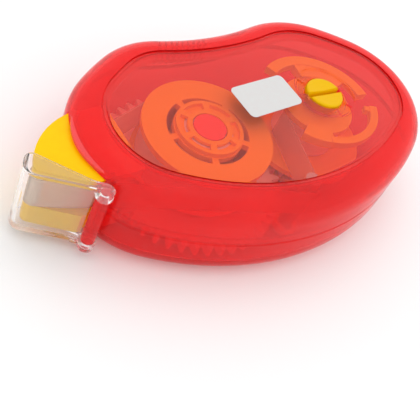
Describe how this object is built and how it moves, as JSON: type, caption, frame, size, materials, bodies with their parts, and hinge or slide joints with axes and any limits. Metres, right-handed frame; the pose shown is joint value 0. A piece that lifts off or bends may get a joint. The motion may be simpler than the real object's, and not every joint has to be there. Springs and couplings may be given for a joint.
{
  "type": "tape roller",
  "caption": "Palm-sized egg-shaped tape roller with a translucent red housing, geared tape reels, slotted tension knob, yellow nose with tip roller and a clear hinged tip cap.",
  "frame": {"origin": "on the flat back face, under the axis of the supply reel", "axes": "+X from the nose towards the tail, through the take-up axis; +Z out of the back face towards the top panel"},
  "size_m": [0.113, 0.0602, 0.0256],
  "materials": {
    "shell_red": "translucent red, fine satin grain",
    "panel_red": "translucent red, polished",
    "cap_clear": "clear polished",
    "cassette_yellow": "moulded satin",
    "tape_white": "matt film",
    "pin_steel": "drawn wire",
    "clutch_rubber": "matt",
    "gear_natural": "natural acetal, satin",
    "label_white": "blank satin film"
  },
  "bodies": {
    "housing": {"bottom_shell": "shell_red", "top_shell": "shell_red", "top_panel": "panel_red", "panel_label": "label_white", "cassette_frame": "cassette_yellow", "nose_cover": "cassette_yellow", "tape_guides": "pin_steel", "tip_roller_axle": "pin_steel", "feed_tape": "tape_white", "spent_liner": "tape_white", "supply_retainer": "shell_red"},
    "cap": {"tip_cap": "cap_clear"},
    "drive": {"drive_gear": "gear_natural", "clutch_ring": "clutch_rubber"},
    "supply_reel": {"supply_core": "cassette_yellow", "supply_flange": "cassette_yellow", "supply_tape": "tape_white"},
    "take_up_reel": {"take_up_gear": "gear_natural", "take_up_core": "cassette_yellow", "take_up_flange": "cassette_yellow", "take_up_tape": "tape_white", "tension_knob": "cassette_yellow"},
    "roller": {"tip_roller": "tape_white"}
  },
  "joints": [
    {"name": "cap_hinge", "type": "hinge", "parent": "housing", "child": "cap", "pos_m": [-0.0333, -0.0099, 0.01275], "axis": [0, 0, 1], "range_deg": [0, 150]},
    {"name": "drive_spin", "type": "hinge", "parent": "housing", "child": "drive", "pos_m": [0, 0, 0.0058], "axis": [0, 0, 1], "continuous": true},
    {"name": "clutch_slip", "type": "hinge", "parent": "drive", "child": "supply_reel", "pos_m": [0, 0, 0.0148], "axis": [0, 0, 1], "continuous": true},
    {"name": "take_up_spin", "type": "hinge", "parent": "housing", "child": "take_up_reel", "pos_m": [0.035, 0, 0.0148], "axis": [0, 0, 1], "continuous": true},
    {"name": "tip_roller_spin", "type": "hinge", "parent": "housing", "child": "roller", "pos_m": [-0.0425, 0.0009, 0.0148], "axis": [0, 0, 1], "continuous": true}
  ],
  "couplings": [
    {"joint": "take_up_spin", "follows": "drive_spin", "ratio": -1.9167},
    {"joint": "tip_roller_spin", "follows": "drive_spin", "ratio": 10}
  ]
}
